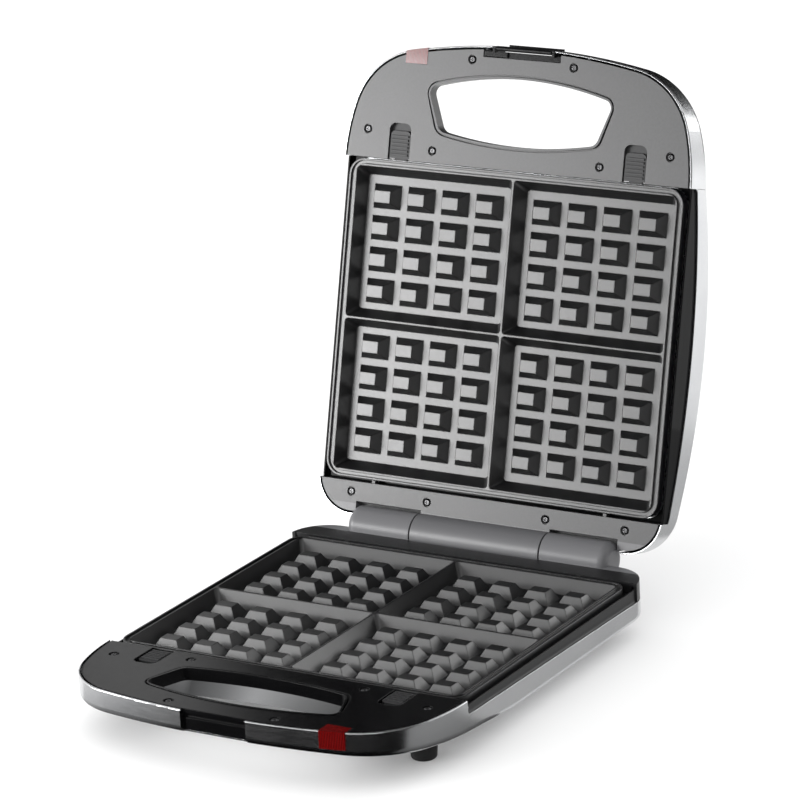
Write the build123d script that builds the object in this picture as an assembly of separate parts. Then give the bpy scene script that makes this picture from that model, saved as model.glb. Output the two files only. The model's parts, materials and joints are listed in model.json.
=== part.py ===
from build123d import *
from math import asin, cos, degrees, radians, sin, sqrt
import os

# Countertop cooker with two hinged halves and removable waffle plates, in millimetres.
# Both halves are drawn in one half frame: X to the right, Y to the back, the centre of the
# plate at X = Y = 0, the parting plane at Z = 0 and the half below it. Depths count down from
# that plane. The base is the half raised to its standing height. The lid is the half turned
# over about Y and then opened about the hinge axis.

# Stand and hinge
stand = 41.0              # floor to parting plane
hinge_y = 147.25          # hinge axis behind the plate centre, on the parting plane
lid_open = 105.12         # lid angle from closed

# Outline at the parting plane
front_y = -202.2          # middle of the crowned front edge
crown_r = 501.0
crown_x = 90.0            # where the crown meets the corner
corner_r = 56.0
corner_end = 74.0         # heading of the outline where the corner ends
flank_r = 152.0
rear_y = 141.0
rear_r = 28.0
section_y = -115.3        # back edge of the handle section
cover_top = 0.4

# Covers
cover_wall = 1.1
cover_edge = 1.0            # round of the front covers' upper edge
shell_wall = 1.0
shell_gap = 0.3           # seam between the front cover and the shell
base_front = 16.5         # depth of the base at the front edge
base_slope = 0.0816
base_depth = 28.5
base_round = 5.0
lid_front = 20.0
lid_depth = 47.5          # crown of the lid
lid_dome_r = 346.0
lid_round = 6.0
side_top_front = 10.4     # depth of the shell's side edge at the front and the rear
side_top_rear = 14.0
side_corner_r = 8.0       # the edge's rounded front corner
side_arch = 24.0          # depth of the same edge in the middle of the lid

# Decks and surround
deck_top = 0.5
deck_thick = 3.0
deck_inset = 2.6
deck_edge_y = -115.4
rail_top = 4.7            # ridge beside the plate
rail_inset = 1.36
rail_wall = 1.2
rail_bottom = 19.0
lid_rail_bottom = 27.0
ledge_depth = 9.0
ledge_thick = 1.4
bay_x = 134.9             # clear bay for the plate
bay_y = 114.7
rear_deck_y = 117.0
rear_wall_bottom = 13.6
bay_wall = 1.4
bay_wall_bottom = 12.0

# Grip opening
hole_front_y = -181.0
hole_front_r = 265.0
hole_rear_y = -130.6
hole_rear_r = 323.0
hole_x_front = 76.0
hole_x_rear = 64.5
hole_corner_front = 7.5
hole_corner_rear = 9.0
hole_wall = 1.6
hole_lip = 0.25           # the wall stands this far above the deck
hole_groove = 1.2         # groove in the deck round that lip
grip_depth = 9.0          # the frame's wall ends here, and the cover's flares from here
flare_x = 0.62            # widening per mm of depth
flare_y = 0.30

# Hinge
barrel_r = 14.0
barrel_split = 52.4
barrel_gap = 0.8
barrel_end = 105.0
barrel_round = 6.0
web_y = 129.0
web_bottom = 11.4
trough_r = 16.2
trough_wall = 1.2
trough_end = 106.4
pin_r = 3.0
pin_clear = 0.05
pin_in = 40.0
pin_out = 99.0
bush_in = 46.0
bush_r = 4.6

# Plates
plate_x = 134.3
plate_y = 114.3
plate_r = 12.0
rim_top = 1.0
rim_x = 128.3
rim_y = 109.1
rim_ridge = 1.4
rim_groove = 1.6
floor_x = 123.7
floor_y = 103.0
floor_depth = 11.4
skirt_depth = 8.0
plate_depth = 14.4
plate_step = 5.0          # the underside stands in from the rim
rib_half = 0.7
rib_foot_x = 6.65
rib_foot_y = 6.5
peg_pitch_x = 28.0
peg_pitch_y = 22.65
peg_count = 4
cell_x = 65.02
cell_y = 53.96
peg_foot = (22.4, 17.3)
peg_head = (13.0, 8.5)
peg_top = 3.2

# Plate clips
clip_x = 94.6
clip_width = 16.2
clip_front = -136.0
clip_back = -116.2
clip_nose = -114.75
clip_travel = 4.5
clip_ribs = 6
slide_half = 11.3
slide_front = -142.2
slide_top = 3.8
slide_bottom = 5.6
recess_width = 17.7
recess_front = -141.5
recess_r = 5.0
rail_end_y = -152.0
guide_top = 5.8
guide_bottom = 6.6

# Lamps
lens_x = 86.0
lens_half = 9.0
lens_back = -184.5
lens_depth = 12.5
lens_proud = 0.3
lamp_depth = 8.0

# Latch
latch_y = -200.0          # axis of the pin
latch_depth = 1.9
knuckle_r = 1.8
latch_pin_r = 0.9
latch_half = 22.0
latch_length = 18.0
latch_thick = 2.2
hook_out = 2.0
hook_thick = 1.2
notch_half = 25.0
notch_back = -198.5
keeper_half = 22.8
keeper_thick = 2.0
keeper_top = 6.5
keeper_bottom = 14.6
notch_wall = 1.6

# Feet and screws
foot_x = 110.0
foot_front_y = -124.0
foot_rear_y = 112.0
foot_r = 8.5
foot_flare = 2.5
foot_high = 15.0          # tops of the feet lie hidden in the covers
frame_places = [(121.5, -135.5), (67.3, -124.0), (40.7, -190.8)]
strip_places = [(111.2, 124.5), (48.2, 124.8)]
foot_places = [(foot_x, foot_front_y), (foot_x, foot_rear_y)]
head_r = 2.8
head_top_r = 1.7
head_depth = 1.3
shank_r = 1.5
sink_r = 3.4
screw_reach = 9.0
boss_r = 3.6

# Inside
heater_r = 3.0
heater_x = 70.0
heater_front = -70.0
heater_rear = 100.0
heater_gap = 0.15         # under the seated plate
heater_depth = plate_depth + heater_gap + heater_r
pan_depth = 22.0
pan_wall = 0.8
pan_x = 131.9
pan_y = 111.7
terminal_y = 125.5
lead_r = 1.2
gland_x = -100.0
gland_depth = 20.0

far = 200.0               # beyond the object on any side


# Solids from depths

def block(x0, x1, y0, y1, top, bottom):
    return Pos((x0 + x1) / 2, (y0 + y1) / 2, -(top + bottom) / 2) * Box(x1 - x0, y1 - y0, bottom - top)


def round_block(half_x, half_y, radius, top, bottom):
    body = block(-half_x, half_x, -half_y, half_y, top, bottom)
    return fillet(body.edges().filter_by(Axis.Z), radius)


def post(radius, x, y, top, bottom):
    return Pos(x, y, -(top + bottom) / 2) * Cylinder(radius, bottom - top)


def rod_x(radius, x0, x1, y, depth):
    return Pos((x0 + x1) / 2, y, -depth) * (Rot(0, 90, 0) * Cylinder(radius, x1 - x0))


def rod_y(radius, x, y0, y1, depth):
    return Pos(x, (y0 + y1) / 2, -depth) * (Rot(90, 0, 0) * Cylinder(radius, y1 - y0))


def both_sides(make):
    # The same solid on the left and the right
    right = make(1)
    return right + make(-1)


def span(side, near, distant):
    # Ordered X limits of something on one side
    return sorted((side * near, side * distant))


def crosswise(edges):
    # A closed profile in the side view, carried across the whole width
    face = make_face(edges)
    return extrude(face, far, dir=(1, 0, 0)) + extrude(face, far, dir=(-1, 0, 0))


def crosswise_polygon(points):
    return crosswise(Polyline(*[(0, y, -d) for y, d in points], close=True).edges())


# Outline of the whole object, as tangent arcs about fixed centres

def arc_point(centre, radius, heading):
    a = radians(heading)
    return (centre[0] + radius * sin(a), centre[1] - radius * cos(a))


crown_end = degrees(asin(crown_x / crown_r))
crown_c = (0.0, front_y + crown_r)
corner_c = arc_point(crown_c, crown_r - corner_r, crown_end)
flank_c = arc_point(corner_c, corner_r - flank_r, corner_end)
side_x = flank_c[0] + flank_r
rear_c = (side_x - rear_r, rear_y - rear_r)


def outline(inset):
    # An inset only shortens the radii
    arcs = [
        (crown_c, crown_r - inset, 0.0, crown_end),
        (corner_c, corner_r - inset, crown_end, corner_end),
        (flank_c, flank_r - inset, corner_end, 90.0),
        (rear_c, rear_r - inset, 90.0, 180.0),
    ]
    right = [[arc_point(c, r, h) for h in (a, (a + b) / 2, b)] for c, r, a, b in arcs]
    left = [[(-x, y) for x, y in reversed(points)] for points in right]
    edges = [ThreePointArc(*points) for points in right + left]
    edges.append(Line(right[2][2], right[3][0]))
    edges.append(Line(left[2][0], left[3][2]))
    edges.append(Line(right[3][2], left[3][0]))
    return make_face(edges)


def slab(inset, top, bottom):
    return Pos(0, 0, -bottom) * extrude(outline(inset), bottom - top)


# Undersides: a sloping handle section, then the flat base or the domed lid

def base_under(y):
    return min(base_depth, base_front + base_slope * (y - front_y))


def dome(y, inset=0.0):
    return lid_depth - lid_dome_r + sqrt((lid_dome_r - inset) ** 2 - y ** 2)


def lid_under(y):
    slope = (dome(section_y) - lid_front) / (section_y - front_y)
    return min(dome(section_y), lid_front + slope * (y - front_y))


def round_under(body, inset, under, radius, first_y, last_y):
    # Rounds the lower edge, but not where the two covers meet
    picked = []
    for edge in body.edges():
        middle = edge @ 0.5
        if abs(middle.Z + under(middle.Y) - inset) < 0.6 and first_y < middle.Y < last_y:
            picked.append(edge)
    return fillet(picked, radius - inset)


def front_body(inset, under, radius):
    y0 = front_y - 5
    profile = [(y0, 0), (section_y, 0), (section_y, under(section_y) - inset), (y0, under(y0) - inset)]
    body = slab(inset, cover_top, 80) & crosswise_polygon(profile)
    return round_under(body, inset, under, radius, y0, section_y - 1)


def round_rim(body):
    # Rounds the upper edge, but not where the two covers meet
    edges = [e for e in body.edges() if abs((e @ 0.5).Z + cover_top) < 0.01]
    return fillet([e for e in edges if (e @ 0.5).Y < section_y - 1], cover_edge)


def base_body(inset):
    y0 = section_y + shell_gap
    y1 = rear_y + 5
    knee = front_y + (base_depth - base_front) / base_slope
    profile = [(y0, 0), (y1, 0), (y1, base_depth - inset), (knee, base_depth - inset),
               (y0, base_under(y0) - inset)]
    body = slab(inset, cover_top, 80) & crosswise_polygon(profile)
    return round_under(body, inset, base_under, base_round, y0 + 1, y1)


def lid_body(inset):
    y0 = section_y + shell_gap
    y1 = rear_y + 5
    back = (0, y1, -dome(y1, inset))
    front = (0, y0, -dome(y0, inset))
    edges = [
        Line((0, y0, 0), (0, y1, 0)),
        Line((0, y1, 0), back),
        ThreePointArc(back, (0, 0, -dome(0, inset)), front),
        Line(front, (0, y0, 0)),
    ]
    body = slab(inset, cover_top, 80) & crosswise(edges)
    return round_under(body, inset, dome, lid_round, y0 + 1, y1)


# Grip opening

def hole_face(grow, wide=0.0):
    # Bowed front and rear edges, slanted ends, rounded corners
    front = hole_front_y - grow
    rear = hole_rear_y + grow
    xf = hole_x_front + grow + wide
    xr = hole_x_rear + grow + wide
    yf = front + hole_front_r - sqrt(hole_front_r ** 2 - xf ** 2)
    yr = rear - hole_rear_r + sqrt(hole_rear_r ** 2 - xr ** 2)
    edges = [
        ThreePointArc((-xf, yf), (0, front), (xf, yf)),
        Line((xf, yf), (xr, yr)),
        ThreePointArc((xr, yr), (0, rear), (-xr, yr)),
        Line((-xr, yr), (-xf, yf)),
    ]
    face = make_face(edges)
    middle_y = (hole_front_y + hole_rear_y) / 2
    face = fillet([v for v in face.vertices() if v.Y < middle_y], hole_corner_front + grow)
    rear_corners = [v for v in face.vertices() if v.Y > middle_y + 15]
    return fillet(rear_corners, hole_corner_rear + grow)


def hole_prism(grow, top, bottom):
    return Pos(0, 0, -bottom) * extrude(hole_face(grow), bottom - top)


def grip_wall():
    # The frame's wall of the opening, with a low lip on the deck
    return hole_prism(0, deck_top - hole_lip, grip_depth) - hole_prism(-hole_wall, -1, 61)


def grip_flare(grow):
    # Below the frame's wall the opening widens towards the underside
    drop = 25.0
    high = Pos(0, 0, -grip_depth) * hole_face(grow)
    low = Pos(0, 0, -grip_depth - drop) * hole_face(
        grow + flare_y * drop, (flare_x - flare_y) * drop)
    return loft([low, high], ruled=True) + hole_prism(grow, -2, grip_depth)


# Screws

def screw_holes(places, radius, top, bottom):
    holes = None
    for x, y in places:
        for side in (-1, 1):
            hole = post(radius, side * x, y, top, bottom)
            holes = hole if holes is None else holes + hole
    return holes


def deck_holes(places):
    return (screw_holes(places, shank_r + 0.3, -1, deck_top + deck_thick + 1)
            + screw_holes(places, sink_r, -1, deck_top + head_depth))


def deck_screws(places):
    # Cross-recessed heads sunk in the deck
    height = head_depth - 0.1
    head = Pos(0, 0, -deck_top - head_depth + height / 2) * Cone(head_r, head_top_r, height)
    head -= block(-1.3, 1.3, -0.3, 0.3, 0, deck_top + 0.8)
    head -= block(-0.3, 0.3, -1.3, 1.3, 0, deck_top + 0.8)
    screw = head + post(shank_r, 0, 0, deck_top + head_depth, deck_top + deck_thick + screw_reach)
    return Compound([Pos(side * x, y, 0) * screw for x, y in places for side in (-1, 1)])


# Handle section

def lens_cut():
    return block(lens_x - lens_half, lens_x + lens_half, front_y - 8, lens_back, -1, lens_depth)


def latch_notch(back):
    return block(-notch_half, notch_half, front_y - 5, back, -1, 40)


def notch_walls(under, radius):
    # Back and sides of the notch for the latch, inside the cover
    wall_y = notch_back + keeper_thick
    top = deck_top + deck_thick + 0.1
    walls = block(-notch_half, notch_half, wall_y, wall_y + notch_wall, top, 60)
    walls += both_sides(lambda s: block(
        *span(s, notch_half, notch_half + notch_wall), front_y - 2, wall_y + notch_wall, top, 60))
    return walls & front_body(cover_wall + 0.05, under, radius)


def cover_ear(rounded_shell):
    # The side wall runs on a little behind the section and rounds off the end of the dark side gap
    end = side_top_front - shell_gap
    gap_r = 2.85
    gap_y = section_y + gap_r
    if rounded_shell:
        back = section_y + shell_gap + side_corner_r
        bottom = side_top_front + side_corner_r
        ear = block(-far, far, section_y - 0.2, back, rail_top + 0.2, bottom)
        ear -= rod_x(side_corner_r + shell_gap, -far, far, back, bottom)
        ear -= block(-far, far, gap_y, back + 1, 0, end)
    else:
        ear = block(-far, far, section_y - 0.2, gap_y, end - gap_r, end)
    ear -= rod_x(gap_r, -far, far, gap_y, end - gap_r)
    return ear & (slab(0, 0, 30) - slab(cover_wall, -1, 31))


def front_cover(under, radius, with_feet):
    cover = round_rim(front_body(0, under, radius)) - grip_flare(0.02)
    cover -= front_body(cover_wall, under, radius) - grip_flare(0.02 + 1.2 * cover_wall)
    cover += cover_ear(with_feet)
    inner_end = block(-far, far, section_y - 5, section_y + 1, cover_top, under(section_y) - cover_wall)
    cover -= inner_end & slab(cover_wall, 0, 80)
    cover -= slab(cover_wall, -1, 4)
    bosses = screw_holes(frame_places, boss_r, deck_top + deck_thick + 0.1, 60)
    cover += bosses & (front_body(0.4, under, radius) - grip_flare(0.5))
    cover -= screw_holes(frame_places, shank_r, 0, deck_top + deck_thick + screw_reach)
    cover -= latch_notch(notch_back + keeper_thick)
    if with_feet:
        foot_under = under(foot_front_y)
        cover += screw_holes([foot_places[0]], boss_r + 0.6, foot_under - 5, foot_under - 0.8)
        cover -= screw_holes([foot_places[0]], shank_r, foot_under - 6, 60)
    return cover - lens_cut()


def clip_recess(side):
    x = side * clip_x
    half = recess_width / 2
    body = block(x - half, x + half, recess_front, deck_edge_y + 1, -1, 8)
    return fillet(body.edges().filter_by(Axis.Z).group_by(Axis.Y)[0], recess_r)


def clip_rails(side):
    # Two ribs under the deck that guide a slide
    x = side * clip_x
    near = slide_half + 0.3
    top = deck_top + deck_thick
    bottom = guide_bottom + 0.8
    rails = block(x - near - 1.2, x - near, rail_end_y, -116.5, top, bottom)
    return rails + block(x + near, x + near + 1.2, rail_end_y, -116.5, top, bottom)


def handle_frame():
    frame = slab(deck_inset, deck_top, deck_top + deck_thick)
    frame &= block(-far, far, -far - 10, deck_edge_y, 0, 40)
    frame -= hole_prism(hole_groove, -1, deck_top + 1.8)
    frame -= hole_prism(-hole_wall, -1, 40)
    frame += grip_wall()
    frame += both_sides(clip_rails)
    frame -= both_sides(clip_recess)
    frame -= deck_holes(frame_places)
    return frame - lens_cut()


def base_handle_frame():
    return handle_frame() - latch_notch(notch_back)


def lid_handle_frame():
    # Cut out behind the latch, where the latch bed shows
    return handle_frame() - latch_notch(notch_back + 0.55) - block(-30, 32, -199.5, -193.3, -1, 40)


def clip(side):
    # Ribbed finger pad, a wide slide plate under the deck and a nose towards the plate
    x = side * clip_x
    top = deck_top + 0.1
    half = clip_width / 2
    pad = block(x - half, x + half, clip_front, clip_back, top + 0.9, slide_bottom)
    pad = fillet(pad.edges().filter_by(Axis.Z).group_by(Axis.Y)[0], 3.5)
    pitch = (clip_back - clip_front - 4.0) / clip_ribs
    for i in range(clip_ribs):
        y = clip_front + 3.2 + pitch * i
        pad += block(x - half + 1.2, x + half - 1.2, y, y + pitch * 0.55, top, top + 1.4)
    slide = block(x - slide_half, x + slide_half, slide_front, clip_back - 0.8, slide_top, slide_bottom)
    nose = block(x - 5.0, x + 5.0, clip_back - 1.0, clip_nose, slide_top, slide_bottom)
    return pad + slide + nose


def clip_guides():
    # Steel straps that carry the slides from below
    return both_sides(lambda s: block(
        s * clip_x - slide_half - 0.1, s * clip_x + slide_half + 0.1, rail_end_y, -118.5,
        guide_top, guide_bottom))


def clip_springs():
    # Bow springs behind the slides, drawn as pressed by a slide pulled right back
    radius = 30.0
    tip = slide_front - clip_travel - 0.2

    def bow(side):
        ring = post(radius, side * clip_x, tip - radius, slide_top + 0.2, slide_bottom)
        ring -= post(radius - 0.5, side * clip_x, tip - radius, 0, 10)
        return ring & block(side * clip_x - 10.5, side * clip_x + 10.5, tip - 8, tip + 1, 0, 10)

    return both_sides(bow)


def lens():
    body = slab(-lens_proud, 0.3, lens_depth)
    half = lens_half - 0.1
    return body & block(lens_x - half, lens_x + half, front_y - 8, lens_back - 0.1, 0, 30)


def lamp():
    # Small lamp lying behind its lens, with a collar and two leads
    end = lens_back + 8.5
    bulb = rod_y(2.5, lens_x, lens_back + 0.2, end - 0.5, lamp_depth)
    collar = rod_y(3.0, lens_x, end - 1.5, end, lamp_depth)
    leads = both_sides(lambda s: rod_y(0.4, lens_x + s * 1.2, end, end + 4.5, lamp_depth))
    return bulb + collar + leads


def keeper():
    # The block that the latch hooks under stands on the notch's back wall
    front, back = notch_back, notch_back + keeper_thick
    hooked = block(-keeper_half, keeper_half, front, back, keeper_top, keeper_bottom)
    return hooked + notch_walls(base_under, base_round)


def latch_bed():
    # Floor of the cut-out behind the latch, a block on it and the ears that hold the pin
    bed = notch_walls(lid_under, lid_round)
    front = notch_back + 0.65
    bed += block(-29.9, 31.9, front, -193.4, deck_top + 2.0, deck_top + deck_thick + 0.9)
    bed += block(13, 31.5, front, -194.0, deck_top + 0.4, deck_top + 2.2)
    bed += both_sides(lambda s: block(
        *span(s, latch_half + 0.6, notch_half - 0.2), latch_y - 1.4, notch_back + 1.8, deck_top, 5.5))
    return bed - rod_x(latch_pin_r, -notch_half + 0.8, notch_half - 0.8, latch_y, latch_depth)


def latch_clip():
    # Flip-over clip: a knuckle on the pin, a plate down the notch and a hook at its end
    half = latch_thick / 2
    end = latch_depth + latch_length
    body = rod_x(knuckle_r, -latch_half, latch_half, latch_y, latch_depth)
    body += block(-latch_half, latch_half, latch_y - half, latch_y + half, latch_depth, end)
    body += block(-latch_half, latch_half, latch_y - half - hook_out, latch_y, end - hook_thick, end)
    return body - rod_x(latch_pin_r + pin_clear, -latch_half - 1, latch_half + 1, latch_y, latch_depth)


def latch_pin():
    return rod_x(latch_pin_r, -notch_half + 0.8, notch_half - 0.8, latch_y, latch_depth)


# Plate bay

def bay_slab(inset, top, bottom):
    # The outline along the plate only
    return slab(inset, top, bottom) & block(-far, far, deck_edge_y + 0.1, rear_deck_y, 0, 60)


def bay_opening():
    return round_block(bay_x, bay_y, plate_r + 0.6, 0, 40)


def side_ledge():
    return bay_slab(rail_inset + 0.5, ledge_depth, ledge_depth + ledge_thick) - bay_opening()


def base_rails():
    walls = bay_slab(rail_inset, rail_top, rail_bottom) - slab(rail_inset + rail_wall, 0, 60)
    return walls + side_ledge()


def lid_rails():
    # The walls follow the dome inside the shell
    walls = lid_body(rail_inset) - lid_body(rail_inset + rail_wall)
    walls &= block(-far, far, deck_edge_y + 0.1, rear_deck_y, rail_top, lid_rail_bottom)
    walls -= block(-bay_x, bay_x, -far, far, 0, 60)
    return walls + side_ledge()


def locating_blocks():
    return both_sides(lambda s: block(
        *span(s, 92.7, 95.3), plate_y + 0.5, rear_deck_y + 0.6, 1.6, 6.0))


def bay_end():
    # Wall under the front edge of the rear deck, with the blocks that locate the plate
    wall = block(-bay_x, bay_x, rear_deck_y, rear_deck_y + bay_wall, deck_top, bay_wall_bottom)
    return wall + locating_blocks()


def trough(x0, x1):
    # Curved wall round the other half's barrel
    tube = rod_x(trough_r + trough_wall, x0 - trough_wall, x1 + trough_wall, hinge_y, 0)
    return tube & block(-far, far, rear_deck_y, rear_y - trough_wall - 0.4, deck_top, 40)


def rear_deck(inset):
    return slab(inset, deck_top, deck_top + deck_thick) & block(-far, far, rear_deck_y, far, 0, 30)


def base_surround():
    skirt = slab(0, deck_top, rear_wall_bottom) - slab(rail_wall, 0, 60)
    skirt &= block(-far, far, rear_deck_y, far, 0, 60)
    part = base_rails() + rear_deck(0) + skirt + bay_end()
    # Steps from the outer skirt in to the side walls
    step = slab(0, deck_top, rear_wall_bottom) - slab(rail_inset + rail_wall, 0, 60)
    part += step & block(-far, far, rear_deck_y - 1.0, rear_deck_y + 0.5, 0, 60)
    part += trough(-barrel_split, barrel_split)
    part -= rod_x(trough_r, -barrel_split, barrel_split, hinge_y, 0)
    for side in (-1, 1):
        x0, x1 = span(side, barrel_split + barrel_gap, barrel_end)
        barrel = rod_x(barrel_r, x0, x1, hinge_y, 0)
        ends = [e for e in barrel.edges() if abs(abs((e @ 0.5).X) - barrel_end) < 0.1]
        part += block(x0, x1, web_y, hinge_y, deck_top, web_bottom) + fillet(ends, barrel_round)
    return part - both_sides(lambda s: rod_x(pin_r, *span(s, pin_in, pin_out), hinge_y, 0))


def lid_hinge_strip():
    half = barrel_split - 0.4
    part = rear_deck(deck_inset) + bay_end()
    part += both_sides(lambda s: trough(*span(s, barrel_split, trough_end)))
    part -= both_sides(lambda s: rod_x(trough_r, *span(s, barrel_split, trough_end), hinge_y, 0))
    part += block(-half, half, web_y, hinge_y, deck_top, web_bottom)
    part += rod_x(barrel_r, -half, half, hinge_y, 0)
    part -= rod_x(pin_r + pin_clear, -far, far, hinge_y, 0)
    part -= both_sides(lambda s: rod_x(bush_r, *span(s, bush_in, far), hinge_y, 0))
    return part - deck_holes(strip_places)


def hinge_bushes():
    def bush(side):
        x0, x1 = span(side, bush_in, barrel_split - 0.4)
        return rod_x(bush_r, x0, x1, hinge_y, 0) - rod_x(pin_r + pin_clear, x0 - 1, x1 + 1, hinge_y, 0)

    return both_sides(bush)


def hinge_pins():
    return both_sides(lambda s: rod_x(pin_r, *span(s, pin_in, pin_out), hinge_y, 0))


# Shells

def base_shell():
    y0 = section_y + shell_gap
    y1 = y0 + side_corner_r
    body = base_body(0) - base_body(shell_wall)
    body -= slab(shell_wall, 0, 80) & block(-far, far, y0 - 1, y0 + 3, 0, base_under(y0) - shell_wall)
    edges = [
        Line((0, y0 - 5, 5), (0, rear_y + 5, 5)),
        Line((0, rear_y + 5, 5), (0, rear_y + 5, -side_top_rear)),
        Line((0, rear_y + 5, -side_top_rear), (0, rear_deck_y, -side_top_rear)),
        Line((0, rear_deck_y, -side_top_rear), (0, y1, -side_top_front)),
        ThreePointArc(
            (0, y1, -side_top_front),
            (0, y1 - side_corner_r * sin(radians(45)),
             -side_top_front - side_corner_r * (1 - cos(radians(45)))),
            (0, y0, -side_top_front - side_corner_r),
        ),
        Line((0, y0, -side_top_front - side_corner_r), (0, y0 - 5, -side_top_front - side_corner_r)),
        Line((0, y0 - 5, -side_top_front - side_corner_r), (0, y0 - 5, 5)),
    ]
    body -= crosswise(edges)
    rear_foot = [foot_places[1]]
    body += screw_holes(rear_foot, boss_r + 0.6, base_depth - 5.5, base_depth - 0.5)
    body -= screw_holes(rear_foot, shank_r, 10, 60)
    return body - rod_y(4.4, gland_x, 130, 150, gland_depth)


def lid_shell():
    y0 = section_y + shell_gap
    body = lid_body(0) - lid_body(shell_wall)
    crown = dome(section_y) - shell_wall - 0.3
    body -= slab(shell_wall, 0, 80) & block(-far, far, y0 - 1, y0 + 3, 0, crown)
    # The side edge is an arch between the handle section and the hinge strip
    middle = (y0 + rear_deck_y) / 2
    edges = [
        Line((0, y0 - 5, 5), (0, rear_deck_y, 5)),
        Line((0, rear_deck_y, 5), (0, rear_deck_y, -side_top_front)),
        ThreePointArc((0, rear_deck_y, -side_top_front), (0, middle, -side_arch), (0, y0, -side_top_front)),
        Line((0, y0, -side_top_front), (0, y0 - 5, -side_top_front)),
        Line((0, y0 - 5, -side_top_front), (0, y0 - 5, 5)),
    ]
    body -= crosswise(edges)
    room = trough_wall + 0.1
    body -= both_sides(lambda s: rod_x(
        trough_r + room, *span(s, barrel_split - room, trough_end + room), hinge_y, 0))
    body -= rod_x(barrel_r + 0.1, -barrel_split, barrel_split, hinge_y, 0)
    body -= block(-barrel_split, barrel_split, web_y, rear_y + 5, 0, web_bottom + 0.1)
    for x, y in strip_places:
        for side in (-1, 1):
            body += post(boss_r, side * x, y, deck_top + deck_thick + 0.1, dome(y) - 0.6)
    return body - screw_holes(strip_places, shank_r, 0, deck_top + deck_thick + screw_reach)


# Plates

def frustum(centre0, size0, z0, centre1, size1, z1):
    low = Plane(origin=(*centre0, z0)) * Rectangle(*size0)
    high = Plane(origin=(*centre1, z1)) * Rectangle(*size1)
    return loft([low.face(), high.face()], ruled=True)


def cell_pocket():
    # Sloping walls, run on a little above the rim so that the cut is clean
    rise = floor_depth - rim_top
    over = 1.0 + (rim_top + 0.2) / rise

    def at(floor, rim):
        return floor + (rim - floor) * over

    x0, x1 = at(rib_foot_x, rib_half), at(floor_x, rim_x)
    y0, y1 = at(rib_foot_y, rib_half), at(floor_y, rim_y)
    floor_centre = ((floor_x + rib_foot_x) / 2, (floor_y + rib_foot_y) / 2)
    floor_size = (floor_x - rib_foot_x, floor_y - rib_foot_y)
    rim_centre = ((x0 + x1) / 2, (y0 + y1) / 2)
    rim_size = (x1 - x0, y1 - y0)
    body = frustum(
        floor_centre, floor_size, -floor_depth, rim_centre, rim_size, -floor_depth + rise * over)
    sides = [e for e in body.edges() if abs((e @ 0).Z - (e @ 1).Z) > 5]
    return fillet(sides, 3.0)


def plate():
    body = round_block(plate_x, plate_y, plate_r, rim_top, skirt_depth)
    under_x, under_y = plate_x - plate_step, plate_y - plate_step
    body += round_block(under_x, under_y, plate_r - 4, skirt_depth - 1, plate_depth)
    inner_x, inner_y = plate_x - rim_ridge, plate_y - rim_ridge
    groove = round_block(inner_x, inner_y, plate_r - rim_ridge, 0, rim_top + rim_groove)
    island = round_block(rim_x + rim_ridge, rim_y + rim_ridge, plate_r - 4.2, -1, 5)
    body -= groove - island
    pocket = cell_pocket()
    for turned in (pocket, mirror(pocket, Plane.YZ)):
        body -= turned
        body -= mirror(turned, Plane.XZ)
    # The pegs run a little into the floor
    sink = 0.6
    share = sink / (floor_depth - peg_top)
    foot = [f + (f - h) * share for f, h in zip(peg_foot, peg_head)]
    peg = frustum((0, 0), foot, -floor_depth - sink, (0, 0), peg_head, -peg_top)
    offsets = [i - (peg_count - 1) / 2 for i in range(peg_count)]
    pegs = [
        Pos(sx * cell_x + i * peg_pitch_x, sy * cell_y + j * peg_pitch_y, 0) * peg
        for sx in (-1, 1) for sy in (-1, 1) for i in offsets for j in offsets
    ]
    return body.fuse(*pegs)


# Inside each half

def reflector():
    # Shallow aluminium pan under the plate, its rim under the ledge
    rim = round_block(pan_x + 4.5, bay_y + 0.1, 4.0, ledge_depth + ledge_thick + 0.1,
                      ledge_depth + ledge_thick + 0.1 + pan_wall)
    pan = rim + round_block(pan_x, pan_y, 8.0, ledge_depth + ledge_thick + 0.5, pan_depth)
    pan -= round_block(pan_x - pan_wall, pan_y - pan_wall, 8.0 - pan_wall, 0, pan_depth - pan_wall)
    return pan - both_sides(lambda s: rod_y(2.2, s * heater_x, 100, 120, heater_depth))


def heater():
    # Tubular element bent to a wide U, with end pins that pass the pan's rear wall
    z = -heater_depth
    path = FilletPolyline(
        (-heater_x, heater_rear, z), (-heater_x, heater_front, z),
        (heater_x, heater_front, z), (heater_x, heater_rear, z), radius=26)
    tube = sweep(Plane(origin=path @ 0, z_dir=path % 0) * Circle(heater_r), path=path)
    return tube + both_sides(lambda s: rod_y(1.2, s * heater_x, heater_rear - 0.5, 118, heater_depth))


def heater_clamps():
    bottom = pan_depth - pan_wall
    front = block(-6, 6, heater_front - 3.5, heater_front + 3.5, heater_depth, bottom)
    front -= rod_x(heater_r, -20, 20, heater_front, heater_depth)

    def side_clamp(side):
        x = side * heater_x
        body = block(x - 3.5, x + 3.5, 14, 26, heater_depth, bottom)
        return body - rod_y(heater_r, x, 0, 40, heater_depth)

    return front + both_sides(side_clamp)


def thermostat():
    bottom = pan_depth - pan_wall
    can = post(8.0, 0, 20, plate_depth + heater_gap, 18.5)
    body = post(7.0, 0, 20, 18.5, bottom)
    return can + body + block(-12, 12, 18, 22, bottom - 1.2, bottom)


def thermal_fuse():
    depth = pan_depth - pan_wall - 2.0
    return rod_x(2.0, 19, 41, 60, depth) + rod_x(0.6, 12, 48, 60, depth)


def terminal_block(x, y, top):
    body = block(x - 14, x + 14, y - 5, y + 5, top, top + 10)
    for i in (-1, 0, 1):
        body -= post(2.0, x + i * 8.5, y, top - 1, top + 5)
    return body


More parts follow.
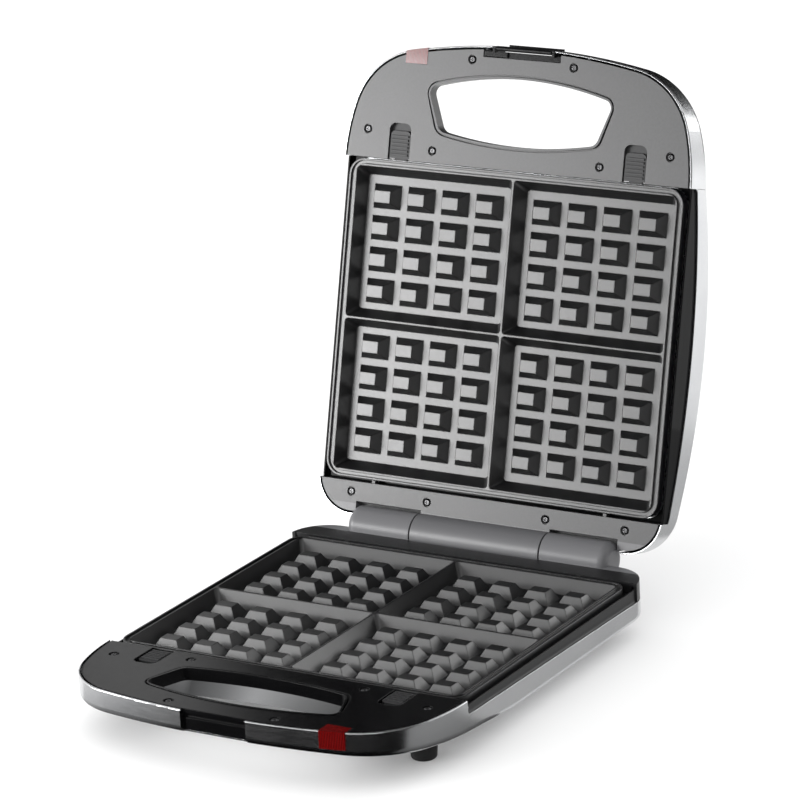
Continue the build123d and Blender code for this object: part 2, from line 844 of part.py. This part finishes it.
def lead(points, radii):
    path = FilletPolyline(*[(x, y, -d) for x, y, d in points], radius=radii)
    return sweep(Plane(origin=path @ 0, z_dir=path % 0) * Circle(lead_r), path=path)


lead_start = [(lens_x, lens_back + 13.5, lamp_depth), (98, -150, 11), (112, -132, 16), (134.6, -114.5, 18)]


def base_lead():
    # From the lamp past the pan to the rear terminal block
    points = lead_start + [(134.6, 112, 18), (118, terminal_y, 19), (gland_x + 34.3, terminal_y, 19)]
    return lead(points, [12, 14, 14, 10, 10])


def lid_lead():
    points = lead_start + [(134.6, -40, 18), (134.6, -5, 28), (110, 20, 28), (-25.7, 40, 28)]
    return lead(points, [12, 14, 14, 20, 14, 14])


def inlet_gland():
    body = rod_y(5.6, gland_x, rear_y, rear_y + 6, gland_depth)
    body += rod_y(4.4, gland_x, rear_y - 4, rear_y + 1, gland_depth)
    body += rod_y(5.6, gland_x, rear_y - 4.5, rear_y - 2.5, gland_depth)
    return body - rod_y(2.9, gland_x, 120, 160, gland_depth)


def feet():
    group = None
    solid = front_body(0, base_under, base_round) + base_body(0)
    for x, y in foot_places:
        for side in (-1, 1):
            foot = Pos(side * x, y, -(stand + foot_high) / 2) * Cone(
                foot_r, foot_r + foot_flare, stand - foot_high)
            foot = fillet([e for e in foot.edges() if (e @ 0.5).Z < -stand + 0.5], 2.0)
            foot -= post(4.0, side * x, y, stand - 5, stand + 1)
            foot -= post(shank_r + 0.2, side * x, y, 0, stand)
            foot -= solid
            group = foot if group is None else group + foot
    return group


def foot_screws():
    screws = []
    for x, y in foot_places:
        top = base_under(y) - 5
        screw = post(3.4, 0, 0, stand - 5, stand - 3.4) + post(shank_r, 0, 0, top, stand - 5)
        screws += [Pos(side * x, y, 0) * screw for side in (-1, 1)]
    return Compound(screws)


# Placing

def in_lid(shape):
    turned = shape.rotate(Axis.Y, 180)
    return turned.rotate(Axis((0, hinge_y, 0), (1, 0, 0)), -lid_open)


base_nodes = {
    "base_shell": base_shell(),
    "base_front_cover": front_cover(base_under, base_round, True),
    "base_handle_frame": base_handle_frame(),
    "base_surround": base_surround(),
    "base_keeper": keeper(),
    "base_lens": lens(),
    "base_lamp": lamp(),
    "base_reflector": reflector(),
    "base_heater": heater(),
    "base_heater_clamps": heater_clamps(),
    "base_thermostat": thermostat(),
    "base_thermal_fuse": thermal_fuse(),
    "base_terminal_block": terminal_block(gland_x + 20, terminal_y, 14),
    "base_lead": base_lead(),
    "base_inlet_gland": inlet_gland(),
    "base_feet": feet(),
    "base_foot_screws": foot_screws(),
    "base_frame_screws": deck_screws(frame_places),
    "base_clip_guides": clip_guides(),
    "base_clip_springs": clip_springs(),
    "hinge_pins": hinge_pins(),
    "lower_plate": plate(),
    "lower_clip_left": clip(-1),
    "lower_clip_right": clip(1),
}

lid_nodes = {
    "lid_shell": lid_shell(),
    "lid_front_cover": front_cover(lid_under, lid_round, False),
    "lid_handle_frame": lid_handle_frame(),
    "lid_surround": lid_rails(),
    "lid_hinge_strip": lid_hinge_strip(),
    "lid_lens": lens(),
    "lid_lamp": lamp(),
    "lid_reflector": reflector(),
    "lid_heater": heater(),
    "lid_heater_clamps": heater_clamps(),
    "lid_thermal_fuse": thermal_fuse(),
    "lid_terminal_block": terminal_block(-40, 40, pan_depth),
    "lid_lead": lid_lead(),
    "lid_frame_screws": deck_screws(frame_places),
    "lid_strip_screws": deck_screws(strip_places),
    "lid_clip_guides": clip_guides(),
    "lid_clip_springs": clip_springs(),
    "hinge_bushes": hinge_bushes(),
    "lid_latch_bed": latch_bed(),
    "latch_pin": latch_pin(),
    "latch_clip": latch_clip(),
    "upper_plate": plate(),
    "upper_clip_left": clip(1),
    "upper_clip_right": clip(-1),
}

nodes = dict(base_nodes)
for name, shape in lid_nodes.items():
    nodes[name] = in_lid(shape)

# The origin is the bottom centre of the whole box, on the floor
boxes = [shape.bounding_box() for shape in nodes.values()]
low_y = min(box.min.Y for box in boxes)
high_y = max(box.max.Y for box in boxes)
shift = Vector(0, -(low_y + high_y) / 2, stand)

os.makedirs("parts", exist_ok=True)
for name, shape in nodes.items():
    export_step(Pos(shift) * shape, "parts/" + name + ".step")

latch_axis = in_lid(Pos(0, latch_y, -latch_depth) * Sphere(0.1)).center()
print("lowest and highest Y", low_y, high_y, "shift", shift)
print("hinge axis", hinge_y + shift.Y, shift.Z)
print("latch axis", latch_axis + shift)
print("half width", side_x)
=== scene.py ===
import json
import math

import bpy
from mathutils import Matrix, Vector

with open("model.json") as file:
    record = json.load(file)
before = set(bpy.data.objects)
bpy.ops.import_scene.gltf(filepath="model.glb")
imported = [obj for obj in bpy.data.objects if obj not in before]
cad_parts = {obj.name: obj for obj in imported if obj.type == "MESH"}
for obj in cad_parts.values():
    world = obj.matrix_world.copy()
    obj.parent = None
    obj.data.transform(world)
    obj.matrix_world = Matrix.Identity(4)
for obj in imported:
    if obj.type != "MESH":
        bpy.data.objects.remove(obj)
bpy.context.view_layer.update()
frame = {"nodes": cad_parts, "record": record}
print("frame loaded:", len(frame["nodes"]), "solids")

mm = 0.001


# Materials

def linear(hexColour):
    # sRGB hex to linear: a straight part near black and a 2.4 power above it
    parts = [int(hexColour[i:i + 2], 16) / 255 for i in (1, 3, 5)]
    return tuple(p / 12.92 if p <= 0.04045 else ((p + 0.055) / 1.055) ** 2.4 for p in parts)


def addNode(tree, kind, settings=None, inputs=None, stops=None):
    # one node, its settings, what goes into its sockets (a value or another node's output), and the
    # (place, hex colour) stops of a colour ramp
    node = tree.nodes.new(kind)
    for name, value in (settings or {}).items():
        setattr(node, name, value)
    for name, value in (inputs or {}).items():
        socket = node.inputs[name]
        if isinstance(value, bpy.types.NodeSocket):
            tree.links.new(value, socket)
        else:
            if isinstance(value, str):
                value = (*linear(value), 1)
            socket.default_value = value
    for number, (place, colour) in enumerate(stops or []):
        points = node.color_ramp.elements
        point = points[number] if number < 2 else points.new(place)
        point.position = place
        point.color = (*linear(colour), 1)
    return node


def startMaterial(name):
    # a material whose node tree is still empty
    material = bpy.data.materials.new(name)
    material.use_nodes = True
    material.node_tree.nodes.clear()
    return material, material.node_tree


noiseLow, noiseHigh = 0.3, 0.7      # most of a noise texture's values lie between these
noiseDetail = 3
bevelSamples = 4
bumpStrength = 0.5


def twoTones(tree, noise, dark, light):
    # the dark tone where the noise is low and the light one where it is high
    return addNode(tree, "ShaderNodeValToRGB", inputs={"Fac": noise}, stops=[
        (noiseLow, dark), (noiseHigh, light)]).outputs["Color"]


def addOpaque(tree, colour, grain, values):
    # The grain shifts the roughness and lifts tiny bumps. The edge radius is the small round a mould
    # or press leaves, too small to model.
    rough = addNode(tree, "ShaderNodeMapRange", inputs={
        "Value": grain, "From Min": noiseLow, "From Max": noiseHigh,
        "To Min": values["smooth"], "To Max": values["dull"]})
    edge = addNode(tree, "ShaderNodeBevel", {"samples": bevelSamples}, {"Radius": values["edgeMm"] * mm})
    relief = addNode(tree, "ShaderNodeBump", inputs={
        "Height": grain, "Distance": values["bumpMm"] * mm, "Strength": bumpStrength,
        "Normal": edge.outputs["Normal"]})
    shader = addNode(tree, "ShaderNodeBsdfPrincipled", inputs={
        "Base Color": colour, "Roughness": rough.outputs["Result"],
        "Metallic": values.get("metallic", 0.0), "IOR": values.get("ior", 1.5),
        "Specular IOR Level": values.get("specular", 0.5), "Normal": relief.outputs["Normal"]})
    addNode(tree, "ShaderNodeOutputMaterial", inputs={"Surface": shader.outputs["BSDF"]})


def addNoise(tree, place, sizes):
    # noise whose spots have these sizes in mm along X, Y and Z
    scaled = addNode(tree, "ShaderNodeMapping", inputs={
        "Vector": place, "Scale": [1 / (size * mm) for size in sizes]})
    return addNode(tree, "ShaderNodeTexNoise", inputs={
        "Vector": scaled.outputs["Vector"], "Scale": 1, "Detail": noiseDetail}).outputs["Fac"]


def marked(name, values):
    # The colour drifts between two tones over wide soft patches. The grain is finer and stretched
    # along the marks of the making.
    material, tree = startMaterial(name)
    place = addNode(tree, "ShaderNodeTexCoord").outputs["Object"]
    patches = addNoise(tree, place, [values["patchMm"]] * 3)
    grain = addNoise(tree, place, values["grainMm"])
    addOpaque(tree, twoTones(tree, patches, values["dark"], values["light"]), grain, values)
    return material


# Stainless steel sheet, rolled bright and brushed along its width: neutral, highlights drawn out by
# the grain. Grit lines are 0.1 mm wide, drawn coarser so that they show.
coverSteel = {
    "dark": "#C4C5C7", "light": "#CDCECF", "patchMm": 60, "grainMm": (30, 1.2, 1.2),
    "smooth": 0.20, "dull": 0.27, "bumpMm": 0.004, "edgeMm": 0.3, "metallic": 1.0,
}
# ABS, injection moulded in a polished tool: deep and even, it mirrors softly, with a faint orange peel
deckAbs = {
    "dark": "#080809", "light": "#0C0C0D", "patchMm": 26, "grainMm": (3, 3, 3),
    "smooth": 0.13, "dull": 0.18, "bumpMm": 0.01, "edgeMm": 0.9, "ior": 1.50, "specular": 0.17,
}
# The same ABS from a mirror polished tool: the lid's ridges are black with thin sharp glints
ridgeAbs = {
    "dark": "#070708", "light": "#0A0A0B", "patchMm": 26, "grainMm": (3, 3, 3),
    "smooth": 0.05, "dull": 0.08, "bumpMm": 0.01, "edgeMm": 0.6, "ior": 1.50, "specular": 0.05,
}
# Cast aluminium, sprayed with a non-stick coating and cured: charcoal with a satin sheen from the
# spray grain and the metal flake in the top coat. The grain is 0.1 mm, drawn coarser so that it shows.
plateCoating = {
    "dark": "#0F0F10", "light": "#151516", "patchMm": 34, "grainMm": (0.9, 0.9, 0.9),
    "smooth": 0.30, "dull": 0.37, "bumpMm": 0.014, "edgeMm": 0.9, "ior": 1.74,
}
# The same ABS from grained tools: the lid's deck is charcoal, the base's surround near black, and
# both are dull. The sliding buttons come from a duller tool. The knuckles and the barrel are painted
# a paler grey, a painted sheen for the light they catch.
# the lid's charcoal is partly its own tone and partly painted light: paler for the light its upright
# face catches
lidDeckAbs = {
    "dark": "#2C2C2D", "light": "#343435", "paintedSheen": "#58585A", "smooth": 0.33, "dull": 0.40,
    "specular": 0.55,
}
buttonAbs = {
    "dark": "#29292A", "light": "#303031", "paintedSheen": "#58585A", "smooth": 0.36, "dull": 0.44,
    "specular": 0.25,
}
surroundAbs = {
    "dark": "#161617", "light": "#1D1D1E", "paintedSheen": "#626264", "smooth": 0.30, "dull": 0.36,
    "specular": 0.35,
}
toolGrain = {"noiseScale": 600, "edgeMm": 0.3, "bumpMm": 0.01, "ior": 1.54}
# the hinge axis, and the radius inside which the knuckles and the barrel get the painted sheen
hingeLine = {"y": 119.1145, "z": 41.0, "paintedSheenRadius": 14.3, "fade": 0.5}     # mm
# Carbon steel dipped in black oxide and wiped: dark grey metal with small sharp glints
screwOxide = {
    "dark": "#454546", "light": "#5A5A5B", "patchMm": 2, "grainMm": (1, 1, 1),
    "smooth": 0.20, "dull": 0.30, "bumpMm": 0.01, "edgeMm": 0.2, "metallic": 1.0,
}
# Aluminium sheet straight from the rolls: pale, streaked one way
panAluminium = {
    "dark": "#C2C3C5", "light": "#CFD0D2", "patchMm": 20, "grainMm": (30, 2, 2),
    "smooth": 0.25, "dull": 0.36, "bumpMm": 0.004, "edgeMm": 0.3, "metallic": 1.0,
}
# Hardened strip steel, blued a little by the heat
springSteel = {
    "dark": "#8E8E90", "light": "#9B9B9C", "patchMm": 8, "grainMm": (12, 2, 2),
    "smooth": 0.28, "dull": 0.38, "bumpMm": 0.004, "edgeMm": 0.1, "metallic": 1.0,
}
# Steel tube of the heating element, browned in patches by its first firing
heaterTube = {
    "dark": "#54504A", "light": "#6A6258", "patchMm": 9, "grainMm": (3, 3, 3),
    "smooth": 0.35, "dull": 0.50, "bumpMm": 0.01, "edgeMm": 0.2, "metallic": 1.0,
}
# Steatite, pressed and fired: off-white and chalky
ceramic = {
    "dark": "#CFCBC0", "light": "#DAD6CC", "patchMm": 4, "grainMm": (0.8, 0.8, 0.8),
    "smooth": 0.54, "dull": 0.66, "bumpMm": 0.03, "edgeMm": 0.2, "ior": 1.6,
}
# Glass fibre sleeve, woven and varnished: cream with a knotty surface
leadSleeve = {
    "dark": "#B7AF9C", "light": "#CBC4B3", "patchMm": 3, "grainMm": (0.8, 0.8, 0.8),
    "smooth": 0.74, "dull": 0.86, "bumpMm": 0.05, "edgeMm": 0.1, "ior": 1.5,
}
# Silicone rubber, pressed and cured: near black and dull
footRubber = {
    "dark": "#0F0F10", "light": "#161617", "patchMm": 6, "grainMm": (1, 1, 1),
    "smooth": 0.60, "dull": 0.75, "bumpMm": 0.03, "edgeMm": 0.4, "ior": 1.42,
}
# Acetal turned from bar: milky with a waxy sheen
bushAcetal = {
    "dark": "#C9C6BC", "light": "#D2CFC6", "patchMm": 5, "grainMm": (0.6, 4, 4),
    "smooth": 0.38, "dull": 0.50, "bumpMm": 0.01, "edgeMm": 0.1, "ior": 1.48,
}


def grainedAbs(name, values):
    # One fine noise drifts the tone and is the grain too. The distance from the hinge line, taken in
    # the plane across it, mixes in the painted sheen, a paler grey, inside the barrels' radius.
    material, tree = startMaterial(name)
    place = addNode(tree, "ShaderNodeTexCoord").outputs["Object"]
    grain = addNode(tree, "ShaderNodeTexNoise", inputs={
        "Vector": place, "Scale": toolGrain["noiseScale"], "Detail": noiseDetail}).outputs["Fac"]
    fromAxis = addNode(tree, "ShaderNodeVectorMath", {"operation": "SUBTRACT"}, {
        0: place, 1: (0, hingeLine["y"] * mm, hingeLine["z"] * mm)})
    across = addNode(tree, "ShaderNodeVectorMath", {"operation": "MULTIPLY"}, {
        0: fromAxis.outputs["Vector"], 1: (0, 1, 1)})
    distance = addNode(tree, "ShaderNodeVectorMath", {"operation": "LENGTH"}, {
        0: across.outputs["Vector"]})
    # 1 inside the barrels' radius, where the painted sheen takes the place of the plastic's tones
    paintedSheen = addNode(tree, "ShaderNodeMapRange", inputs={
        "Value": distance.outputs["Value"], "From Min": hingeLine["paintedSheenRadius"] * mm,
        "From Max": (hingeLine["paintedSheenRadius"] + hingeLine["fade"]) * mm, "To Min": 1.0, "To Max": 0.0})
    tones = twoTones(tree, grain, values["dark"], values["light"])
    colour = addNode(tree, "ShaderNodeMix", {"data_type": "RGBA"}, {
        0: paintedSheen.outputs["Result"], 6: tones, 7: values["paintedSheen"]})
    addOpaque(tree, colour.outputs[2], grain, {**toolGrain, **values})
    return material


windowValues = {
    "deep": "#2C0304", "bright": "#6A0908", "prismMm": 1.1, "rough": 0.1, "ior": 1.585, "specular": 0.8,
}
waveRepeat = math.tau / 20      # length of one band of the wave texture at a scale of 1


def windowRed():
    # Polycarbonate tinted red and moulded with fine upright prisms inside that spread the lamp's
    # light: a saturated red under a clear hard gloss. The prisms are not modelled: their light and shade
    # is painted, deep to bright and back in a triangle wave across the width.
    material, tree = startMaterial("window_red")
    place = addNode(tree, "ShaderNodeTexCoord").outputs["Object"]
    prisms = addNode(tree, "ShaderNodeTexWave", {"bands_direction": "X", "wave_profile": "TRI"}, {
        "Vector": place, "Scale": waveRepeat / (windowValues["prismMm"] * mm)})
    colour = addNode(tree, "ShaderNodeValToRGB", inputs={"Fac": prisms.outputs["Fac"]}, stops=[
        (0.1, windowValues["deep"]), (0.9, windowValues["bright"])])
    shader = addNode(tree, "ShaderNodeBsdfPrincipled", inputs={
        "Base Color": colour.outputs["Color"], "Roughness": windowValues["rough"],
        "IOR": windowValues["ior"], "Specular IOR Level": windowValues["specular"]})
    addNode(tree, "ShaderNodeOutputMaterial", inputs={"Surface": shader.outputs["BSDF"]})
    return material


lampValues = {
    "pale": "#F2DACB", "warm": "#E7C3B4", "hazeScale": 300, "hazeDetail": 2, "rough": 0.05, "ior": 1.5,
    "clear": 0.6,
}


def lampGlass():
    # Soda glass drawn into a small neon lamp: clear, with a warm haze from the electrodes
    material, tree = startMaterial("lamp_glass")
    place = addNode(tree, "ShaderNodeTexCoord").outputs["Object"]
    haze = addNode(tree, "ShaderNodeTexNoise", inputs={
        "Vector": place, "Scale": lampValues["hazeScale"], "Detail": lampValues["hazeDetail"]})
    shader = addNode(tree, "ShaderNodeBsdfPrincipled", inputs={
        "Base Color": twoTones(tree, haze.outputs["Fac"], lampValues["warm"], lampValues["pale"]),
        "Roughness": lampValues["rough"], "IOR": lampValues["ior"],
        "Transmission Weight": lampValues["clear"]})
    addNode(tree, "ShaderNodeOutputMaterial", inputs={"Surface": shader.outputs["BSDF"]})
    return material


finishes = {
    "silver_steel": marked("cover_steel", coverSteel),
    "black_plastic": marked("deck_abs", deckAbs),
    "grey_plastic": grainedAbs("lid_deck_abs", lidDeckAbs),
    "hinge_plastic": grainedAbs("surround_abs", surroundAbs),
    "coated_aluminium": marked("plate_coating", plateCoating),
    "bare_aluminium": marked("pan_aluminium", panAluminium),
    "spring_steel": marked("spring_steel", springSteel),
    "screw_steel": marked("screw_oxide", screwOxide),
    "heater_steel": marked("heater_tube", heaterTube),
    "red_lens": windowRed(),
    "lamp_glass": lampGlass(),
    "ceramic": marked("ceramic", ceramic),
    "lead_sleeve": marked("lead_sleeve", leadSleeve),
    "foot_rubber": marked("foot_rubber", footRubber),
    "bush_plastic": marked("bush_acetal", bushAcetal),
}
slotOf = {s["node"]: s["material_slot"] for s in frame["record"]["subparts"]}
# nodes with a finish of their own
buttonFinish = grainedAbs("button_abs", buttonAbs)
ownFinish = {"lid_surround": marked("ridge_abs", ridgeAbs)}
for plate in ("lower", "upper"):
    for side in ("left", "right"):
        ownFinish[plate + "_clip_" + side] = buttonFinish
for name, solid in frame["nodes"].items():
    solid.data.materials.clear()
    solid.data.materials.append(ownFinish.get(name, finishes[slotOf[name]]))
print("materials:", len(bpy.data.materials))


# Floor, light and camera

studio = {
    "floorHalf": 6.0,
    "floorColour": "#F8F8F8",
    "floorGlow": 0.10,              # share of the floor's white that is its own colour
    "ambient": 1.15,
    "keyPlace": (-1.65, -1.45, 0.50),
    "keyAim": (0.0, 0.12, 0.18),
    "keySize": (1.4, 0.72),
    "keyWatts": 50,
    "rimPlace": (0.95, 1.75, 0.75),
    "rimAim": (0.0, -0.1, 0.05),
    "rimSize": (0.9, 0.8),
    "rimWatts": 8,
}
# Grey sheets that only reflections see, and which paint the reflections: painted shadow of the floor
# near the object, and painted dark and pale reflections around it. Two opposite corners of each, and its
# greys from its first end to the other
paintedReflectionCards = {
    # painted reflection: the floor in front, pale to the left and black to the right, as the front band
    # mirrors it
    "front_floor_card": ((-0.40, -0.85, 0.001), (0.60, -0.185, 0.001), [
        (0.20, "#EDEDED"), (0.28, "#8A8A8A"), (0.36, "#202020"), (0.42, "#080808")]),
    # painted shadow: the shaded floor under the base, as the grip's flare mirrors it
    "grip_floor_card": ((-0.12, -0.21, 0.0015), (0.08, -0.12, 0.0015), [
        (0.21, "#484848"), (0.35, "#8C8C8C"), (0.45, "#C8C8C8"), (0.60, "#939393"), (0.85, "#303030")]),
    # painted shadow: the floor by the front right corner, darker near it, as the corner mirrors it
    "corner_floor_card": ((0.13, -0.212, 0.0015), (0.45, -0.085, 0.0015), [
        (0.0, "#505050"), (0.25, "#9E9E9E")]),
    # painted shadow: the floor beside the right side, darker near the base, as that side mirrors it
    "side_floor_card": ((0.15, -0.085, 0.001), (0.60, 0.50, 0.001), [
        (0.0, "#BEBEBE"), (0.4, "#E0E0E0")]),
    # painted reflections: dark sheets to the right, behind and above, and on the back one a pale stripe
    # as a painted highlight
    "right_card": ((1.2, -1.2, 0.0), (1.2, 0.35, 1.3), [(0.0, "#141414"), (1.0, "#080808")]),
    "back_card": ((-2.6, 1.6, 0.05), (0.60, 1.6, 1.7), [
        (0.30, "#202020"), (0.36, "#F2F2F2"), (0.40, "#F2F2F2"), (0.44, "#303030"), (0.48, "#080808")]),
    "top_card": ((-1.4, -1.2, 2.2), (1.4, 1.6, 2.2), [(0.0, "#141414"), (1.0, "#080808")]),
}


def addQuad(name, corners, material):
    # a flat piece with four corners, linked to the scene
    mesh = bpy.data.meshes.new(name)
    mesh.from_pydata(corners, [], [(0, 1, 2, 3)])
    mesh.materials.append(material)
    quad = bpy.data.objects.new(name, mesh)
    bpy.context.scene.collection.objects.link(quad)
    return quad


def seenRays(tree):
    # 1 for a ray from the camera, off a gloss or through glass, and 0 for one that lights a matt surface
    path = addNode(tree, "ShaderNodeLightPath")
    seen = addNode(tree, "ShaderNodeMath", {"operation": "MAXIMUM"}, {
        0: path.outputs["Is Camera Ray"], 1: path.outputs["Is Glossy Ray"]})
    return addNode(tree, "ShaderNodeMath", {"operation": "MAXIMUM"}, {
        0: seen.outputs[0], 1: path.outputs["Is Transmission Ray"]}).outputs[0]


def makeFloor():
    # flat square under the object: a share of what is seen of it is its own white, and the rest takes
    # the light and the object's shadow
    material, tree = startMaterial("white_floor")
    share = addNode(tree, "ShaderNodeMath", {"operation": "MULTIPLY"}, {
        0: seenRays(tree), 1: studio["floorGlow"]})
    matt = addNode(tree, "ShaderNodeBsdfDiffuse", inputs={"Color": studio["floorColour"]})
    white = addNode(tree, "ShaderNodeEmission", inputs={"Color": "#FFFFFF", "Strength": 1.0})
    mixed = addNode(tree, "ShaderNodeMixShader", inputs={
        0: share.outputs[0], 1: matt.outputs[0], 2: white.outputs[0]})
    addNode(tree, "ShaderNodeOutputMaterial", inputs={"Surface": mixed.outputs[0]})
    half = studio["floorHalf"]
    corners = [(-half, -half, 0), (half, -half, 0), (half, half, 0), (-half, half, 0)]
    floor = addQuad("floor", corners, material)


def makePaintedReflectionCard(name, low, high, greys):
    # a flat card between two corners, standing along X or Y or lying down. Its grey follows a ramp
    # from one end to the other, and it glows with that grey for reflections alone: a painted reflection.
    x0, y0, z0 = low
    x1, y1, z1 = high
    if x0 == x1:
        corners = [(x0, y0, z0), (x0, y1, z0), (x0, y1, z1), (x0, y0, z1)]
    elif y0 == y1:
        corners = [(x0, y0, z0), (x1, y0, z0), (x1, y0, z1), (x0, y0, z1)]
    else:
        corners = [(x0, y0, z0), (x1, y0, z0), (x1, y1, z0), (x0, y1, z0)]
    material, tree = startMaterial(name)
    place = addNode(tree, "ShaderNodeAttribute", {"attribute_name": "along"})
    grey = addNode(tree, "ShaderNodeValToRGB", inputs={"Fac": place.outputs["Fac"]}, stops=greys)
    tone = addNode(tree, "ShaderNodeEmission", inputs={"Color": grey.outputs["Color"], "Strength": 1.0})
    addNode(tree, "ShaderNodeOutputMaterial", inputs={"Surface": tone.outputs[0]})
    card = addQuad(name, corners, material)
    along = card.data.attributes.new("along", "FLOAT", "POINT")
    along.data.foreach_set("value", [0.0, 1.0, 1.0, 0.0])
    card.visible_camera = False
    card.visible_diffuse = False
    card.visible_transmission = False
    card.visible_shadow = False


def makeWorld():
    # white all round: its strength as light is the ambient value, and what is seen of it is plain white
    world = bpy.data.worlds.new("studio")
    bpy.context.scene.world = world
    world.use_nodes = True
    tree = world.node_tree
    tree.nodes.clear()
    ambient = addNode(tree, "ShaderNodeBackground", inputs={
        "Color": "#FFFFFF", "Strength": studio["ambient"]})
    white = addNode(tree, "ShaderNodeBackground", inputs={"Color": "#FFFFFF", "Strength": 1.0})
    mixed = addNode(tree, "ShaderNodeMixShader", inputs={
        0: seenRays(tree), 1: ambient.outputs[0], 2: white.outputs[0]})
    addNode(tree, "ShaderNodeOutputWorld", inputs={"Surface": mixed.outputs[0]})


def makeSoftbox(name, place, aim, size, watts):
    # a rectangular lamp at its place, turned so that it faces its aim
    light = bpy.data.lights.new(name, "AREA")
    light.shape = "RECTANGLE"
    light.size, light.size_y = size
    light.energy = watts
    lamp = bpy.data.objects.new(name, light)
    lamp.location = place
    lamp.rotation_euler = (Vector(aim) - Vector(place)).to_track_quat("-Z", "Y").to_euler()
    bpy.context.scene.collection.objects.link(lamp)


cameraPlace = {
    "place": (1.477377, -2.3540895, 1.075987),
    "yaw": 0.5566406,
    "pitch": 0.3110525,
    "roll": -0.0573659,
    "focalPixels": 4334.475,
    "imagePixels": 800,
    "sensorMm": 36,
}


def makeCamera():
    # looks along the yaw and down by the pitch, then rolls about that line
    yaw, pitch, roll = cameraPlace["yaw"], cameraPlace["pitch"], cameraPlace["roll"]
    ahead = Vector((-math.sin(yaw) * math.cos(pitch), math.cos(yaw) * math.cos(pitch), -math.sin(pitch)))
    right = Vector((math.cos(yaw), math.sin(yaw), 0))
    up = right.cross(ahead)
    turnedRight = math.cos(roll) * right + math.sin(roll) * up
    turnedUp = math.cos(roll) * up - math.sin(roll) * right
    data = bpy.data.cameras.new("camera")
    data.sensor_fit = "HORIZONTAL"
    data.sensor_width = cameraPlace["sensorMm"]
    data.lens = cameraPlace["focalPixels"] * cameraPlace["sensorMm"] / cameraPlace["imagePixels"]
    camera = bpy.data.objects.new("camera", data)
    columns = Matrix((turnedRight, turnedUp, -ahead)).transposed()
    camera.matrix_world = Matrix.Translation(cameraPlace["place"]) @ columns.to_4x4()
    bpy.context.scene.collection.objects.link(camera)
    bpy.context.scene.camera = camera


makeFloor()
for name, (low, high, greys) in paintedReflectionCards.items():
    makePaintedReflectionCard(name, low, high, greys)
makeWorld()
makeSoftbox("key_softbox", studio["keyPlace"], studio["keyAim"], studio["keySize"], studio["keyWatts"])
makeSoftbox("rim_softbox", studio["rimPlace"], studio["rimAim"], studio["rimSize"], studio["rimWatts"])
makeCamera()
bpy.context.scene.view_settings.view_transform = "Standard"
print("floor, lights and camera")
